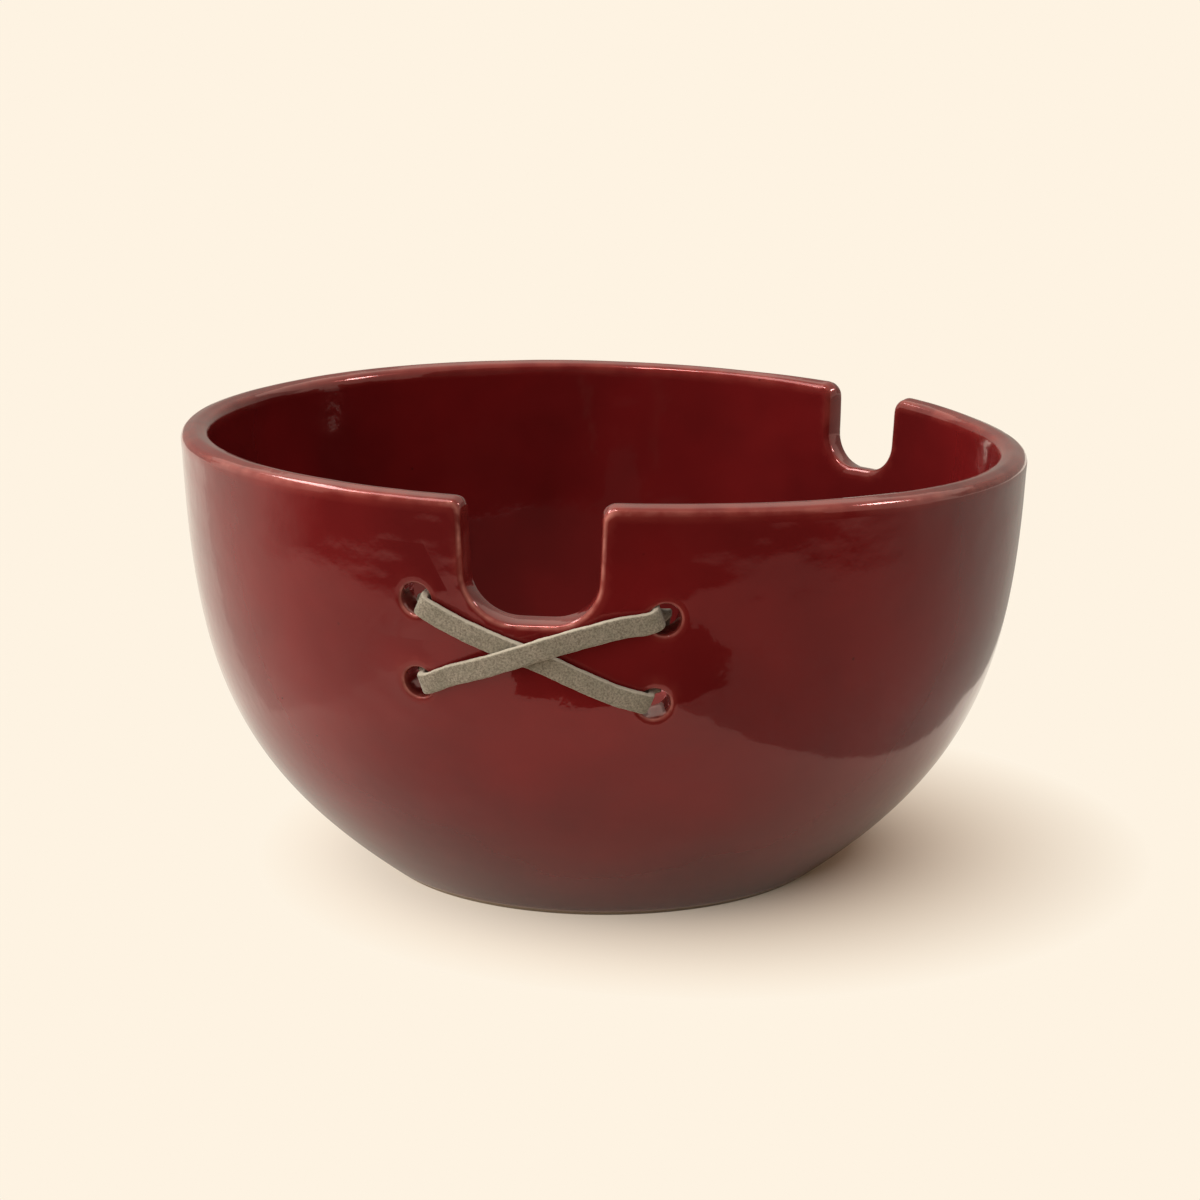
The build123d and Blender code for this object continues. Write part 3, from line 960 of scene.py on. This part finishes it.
# ---- Knot ----
# The lace's two ends are tied together inside the bowl, between the left-hand holes, in one tight overhand
# knot. It is the same suede, squeezed a little narrower by the pull, and its two cut tails hang down the wall.

knot_squeeze = 0.78
knot_size, knot_depth, knot_off = 1.0, 0.95, 2.35
knot_place, knot_out, knot_up, knot_right = wall_spot(-15.15, 61.4, True)


def tail(spots):
    keys = []
    for angle, z, off in spots:
        place, out, _, _ = wall_spot(angle, z, True)
        keys.append((place + out * off, out))
    return keys


turns_of_knot = []
for t in np.linspace(math.pi + 0.35, 3 * math.pi - 0.35, 26):
    across_knot = (math.sin(t) + 2 * math.sin(2 * t)) * knot_size
    up_knot = (math.cos(t) - 2 * math.cos(2 * t)) * knot_size
    depth = -math.sin(3 * t) * knot_depth
    centre = knot_place + knot_right * across_knot + knot_up * up_knot + knot_out * (knot_off + depth)
    tipped = unit(knot_out + (knot_right * across_knot + knot_up * up_knot) * 0.22)
    turns_of_knot.append((centre, tipped))
knot_keys = tail(((-21.6, 50.9, 1.2), (-20.3, 53.2, 1.3), (-18.4, 56.0, 1.6)))
knot_keys += turns_of_knot
knot_keys += tail(((-13.4, 56.6, 1.7), (-12.3, 54.4, 1.3), (-11.6, 52.6, 1.15)))
knot_path = path_mesh("knot_path", knot_keys, step_along * 0.8)
knot_sizes = dict(strip_sizes)
knot_sizes["Width"] = lace_width * knot_squeeze * MM
knot_sizes["Thickness"] = lace_thickness * knot_squeeze * MM
knot_sizes["Seed"] = (0.1, 0.6, 0.3)
knot = made_by(cut, "suede_knot", knot_path, knot_sizes)

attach(knot, "root")
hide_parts("lace_knot")

# ---- Studio ----
# A pale cream table that glows more further from the bowl, so that the shadow fades out, and is painted a warm
# brown near the foot for light bounced off the red bowl, a soft sun high on the left and a world that is
# brighter low on the left. Lengths here are in metres. Dark nets and bright panels, which only mirrored light
# meets, paint the dark reflections and the highlights that the glaze shows.


def staged(name, corners):
    """A flat sheet that isn't part of the bowl, and the empty material on it."""
    mesh = bpy.data.meshes.new(name)
    mesh.from_pydata(corners, [], [tuple(range(len(corners)))])
    made = bpy.data.objects.new(name, mesh)
    bpy.context.scene.collection.objects.link(made)
    paint = bpy.data.materials.new(name)
    paint.use_nodes = True
    paint.node_tree.nodes.clear()
    mesh.materials.append(paint)
    return made, paint.node_tree


def seen_directly(tree):
    """1 for rays from the camera, from a mirror or through glass, and 0 for the rest."""
    path = put(tree, "ShaderNodeLightPath").outputs
    seen = maths(tree, "ADD", path["Is Camera Ray"], path["Is Glossy Ray"])
    return maths(tree, "ADD", seen, path["Is Transmission Ray"])


def place_on(tree):
    """Where a sheet is being looked at, in metres from its middle."""
    return put(tree, "ShaderNodeTexCoord").outputs["Object"]


def length_of(tree, way):
    return put(tree, "ShaderNodeVectorMath", {0: way}, operation="LENGTH").outputs["Value"]


def only_mirrored(sheet):
    """Hides a sheet from everything but mirrored light."""
    sheet.visible_camera = sheet.visible_diffuse = sheet.visible_shadow = sheet.visible_transmission = False


cream = (0.991, 0.896, 0.761, 1)
floor_reach = 30.0
square = ((-1, -1), (1, -1), (1, 1), (-1, 1))
floor, paper = staged("floor", [(x * floor_reach, y * floor_reach, 0) for x, y in square])
dim = put(paper, "ShaderNodeBsdfDiffuse", {"Color": (0.46, 0.41, 0.35, 1)}).outputs[0]
# near the foot the table is a warm brown: painted light, bounced off the red bowl into its shadow
painted_warm_bounce = put(paper, "ShaderNodeBsdfDiffuse", {"Color": (0.95, 0.70, 0.47, 1)}).outputs[0]
glow = put(paper, "ShaderNodeEmission", {"Color": cream, "Strength": 1.0}).outputs[0]
shadow_middle = {0: place_on(paper), 1: (0.020, 0.005, 0)}
spot = put(paper, "ShaderNodeVectorMath", shadow_middle, operation="SUBTRACT").outputs[0]
lit = remap(paper, length_of(paper, spot), 0.030, 0.092)
shown = put(paper, "ShaderNodeMixShader", {0: lit, 1: painted_warm_bounce, 2: glow}).outputs[0]
both = put(paper, "ShaderNodeMixShader", {0: seen_directly(paper), 1: dim, 2: shown}).outputs[0]
surface(paper, both)

# dark nets over the table and round the room, which only the glaze mirrors: painted dark reflections
far_net, far_tree = staged("far_net", [(x * floor_reach, y * floor_reach, 0.002) for x, y in square])
spot = place_on(far_tree)
reach = length_of(far_tree, spot)
front = put(far_tree, "ShaderNodeVectorMath", {0: spot}, operation="NORMALIZE").outputs["Vector"]
toward = (0.05, -1, 0)
front = put(far_tree, "ShaderNodeVectorMath", {0: front, 1: toward}, operation="DOT_PRODUCT").outputs["Value"]
far_share = maths(far_tree, "MULTIPLY", remap(far_tree, reach, 0.272, 0.31), remap(far_tree, front, 0.05, 0.4))
far_open = maths(far_tree, "SUBTRACT", 1.0, maths(far_tree, "MULTIPLY", far_share, 0.93))
front_corners = ((-0.022, -0.145), (0.10, -0.13), (0.19, -0.5), (-0.10, -0.5))
front_net, front_tree = staged("front_net", [(x, y, 0.003) for x, y in front_corners])
side_corners = ((0.04, -0.6), (0.9, -0.6), (0.9, 0.9), (0.05, 0.5), (0.11, 0.05), (0.06, -0.13))
side_net, side_tree = staged("side_net", [(x, y, 0.004) for x, y in side_corners])
dark_room, room_tree = staged("dark_room", [(-4, -1.6, 0), (4, -1.6, 0), (4, -1.6, 3.2), (-4, -1.6, 3.2)])
back_room, back_tree = staged("back_room", [(-4, 2, 0), (4, 2, 0), (4, 2, 1.3), (-4, 2, 1.3)])
foot_net, foot_tree = staged("foot_net", [(x * 0.15, y * 0.15, 0.0015) for x, y in square])
foot_open = remap(foot_tree, length_of(foot_tree, place_on(foot_tree)), 0.05, 0.12, 0.5, 1.0)
left_corners = ((-0.9, -0.6), (-0.06, -0.6), (-0.11, -0.02), (-0.9, 0.6))
left_net, left_tree = staged("left_net", [(x, y, 0.004) for x, y in left_corners])
for net, tree, open_share in (
    (far_net, far_tree, far_open),
    (front_net, front_tree, 0.03),
    (side_net, side_tree, 0.45),
    (dark_room, room_tree, 0.12),
    (back_room, back_tree, 0.35),
    (left_net, left_tree, 0.8),
    (foot_net, foot_tree, foot_open),
):
    shade = put(tree, "ShaderNodeCombineColor", {0: open_share, 1: open_share, 2: open_share}).outputs[0]
    surface(tree, put(tree, "ShaderNodeBsdfTransparent", {"Color": shade}).outputs[0])
    only_mirrored(net)

# two small bright panels and a soft box, which only the glaze mirrors: painted highlights that light nothing
highlight_reach = 1.5
for name, way, size, power in (
    ("lamp_over", (-0.10, -0.22, 0.97), (0.30, 0.24), 28.0),
    ("lamp_right", (0.76, 0.17, 0.63), (0.22, 0.24), 28.0),
    ("soft_box", (-0.66, 0.12, 0.74), (0.80, 0.30), 12.0),
):
    way = Vector(way).normalized()
    facing = way.to_track_quat("Z", "Y").to_matrix()
    corners = [facing @ Vector((x * size[0] / 2, y * size[1] / 2, highlight_reach)) for x, y in square]
    highlight_panel, highlight_tree = staged(name, [tuple(c) for c in corners])
    shine = put(highlight_tree, "ShaderNodeEmission", {"Color": (1, 0.97, 0.94, 1), "Strength": power}).outputs[0]
    surface(highlight_tree, shine)
    only_mirrored(highlight_panel)

world = bpy.data.worlds.new("studio")
bpy.context.scene.world = world
world.use_nodes = True
air = world.node_tree
air.nodes.clear()
sky_way = put(air, "ShaderNodeTexCoord").outputs["Generated"]
rise = maths(air, "MAXIMUM", put(air, "ShaderNodeSeparateXYZ", {0: sky_way}).outputs["Z"], 0.0)
low_way = (-0.985, -0.17, 0.0)
leftness = put(air, "ShaderNodeVectorMath", {0: sky_way, 1: low_way}, operation="DOT_PRODUCT").outputs["Value"]
leftness = maths(air, "POWER", remap(air, leftness, -1.0, 1.0), 3.0)
low_left = maths(air, "MULTIPLY", leftness, maths(air, "SUBTRACT", 1.0, rise))
strength = maths(air, "ADD", maths(air, "MULTIPLY", rise, 0.91), maths(air, "MULTIPLY", low_left, 4.0))
even = put(air, "ShaderNodeBackground", {"Color": (1, 0.97, 0.935, 1), "Strength": strength}).outputs[0]
backdrop = put(air, "ShaderNodeBackground", {"Color": cream, "Strength": 1.0}).outputs[0]
both = put(air, "ShaderNodeMixShader", {0: seen_directly(air), 1: even, 2: backdrop}).outputs[0]
surface(air, both, "World")

key = bpy.data.objects.new("key", bpy.data.lights.new("key", "SUN"))
key.data.energy, key.data.angle, key.data.color = 0.9, math.radians(30), (1.0, 0.99, 0.97)
key_side, key_rise = math.radians(-80), math.radians(64)  # round from the front, and up
key_flat = Vector((math.sin(key_side), -math.cos(key_side), 0)) * math.cos(key_rise)
key_way = key_flat + Vector((0, 0, math.sin(key_rise)))
key.rotation_euler = (-key_way).to_track_quat("-Z", "Y").to_euler()
bpy.context.scene.collection.objects.link(key)

camera = bpy.data.objects.new("camera", bpy.data.cameras.new("camera"))
camera.data.lens = 88.72
camera.data.sensor_width = 36
turn, tilt, distance = math.radians(8.9), math.radians(13.355), 0.600
forward = Vector((-math.sin(turn) * math.cos(tilt), math.cos(turn) * math.cos(tilt), -math.sin(tilt)))
aim_left, aim_height = 0.000917, 0.05157
aim = Vector((-aim_left * math.cos(turn), -aim_left * math.sin(turn), aim_height))
camera.location = aim - forward * distance
camera.rotation_euler = forward.to_track_quat("-Z", "Y").to_euler()
bpy.context.scene.collection.objects.link(camera)
bpy.context.scene.camera = camera
bpy.context.scene.view_settings.view_transform = "Standard"
